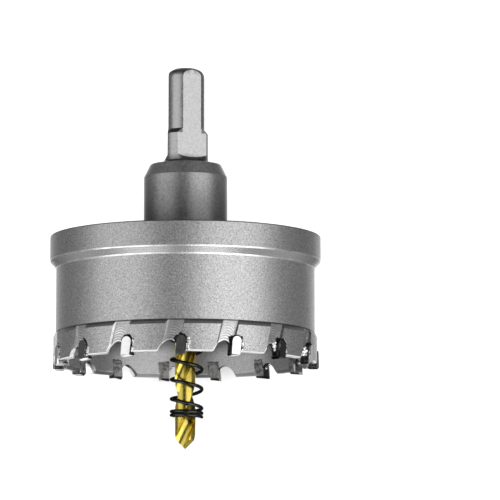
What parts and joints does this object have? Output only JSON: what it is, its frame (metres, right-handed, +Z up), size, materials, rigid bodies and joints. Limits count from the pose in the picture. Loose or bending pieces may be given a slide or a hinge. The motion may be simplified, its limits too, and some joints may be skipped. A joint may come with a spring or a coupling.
{
  "type": "hole saw",
  "caption": "Carbide-tipped hole saw with a wide flanged cup, three-flat shank, twist pilot drill and sprung ejector, lying on its side.",
  "frame": {"origin": "on the surface that the saw lies on, below the middle of its length: x on the turning axis, z at the lowest line of the flange", "axes": "+Y along the turning axis, from the teeth towards the shank; +Z up from the surface that it lies on; +X to the right when looking along +Y"},
  "size_m": [0.0708, 0.1002, 0.0708],
  "materials": {
    "blasted_steel": "fine blasted, satin",
    "dark_steel": "dark oxide collar, bright ground shank",
    "gold_coated_steel": "glossy titanium nitride coat",
    "black_steel": "black oxide",
    "spring_wire": "black, oiled, glossy",
    "carbide": "ground, semi-glossy"
  },
  "bodies": {
    "saw": {"saw_cup": "blasted_steel", "shank_arbor": "dark_steel", "pilot_drill": "gold_coated_steel", "set_screw": "black_steel", "carbide_tip_01": "carbide", "carbide_tip_02": "carbide", "carbide_tip_03": "carbide", "carbide_tip_04": "carbide", "carbide_tip_05": "carbide", "carbide_tip_06": "carbide", "carbide_tip_07": "carbide", "carbide_tip_08": "carbide", "carbide_tip_09": "carbide", "carbide_tip_10": "carbide", "carbide_tip_11": "carbide", "carbide_tip_12": "carbide", "carbide_tip_13": "carbide", "carbide_tip_14": "carbide", "carbide_tip_15": "carbide"},
    "ejector": {"ejector_spring": "spring_wire"}
  },
  "joints": [
    {"name": "ejector_push", "type": "slide", "parent": "saw", "child": "ejector", "axis": [0, 1, 0], "range_m": [0, 0.022], "stiffness_N_per_m": 1300, "deforming": ["ejector_spring"]}
  ]
}
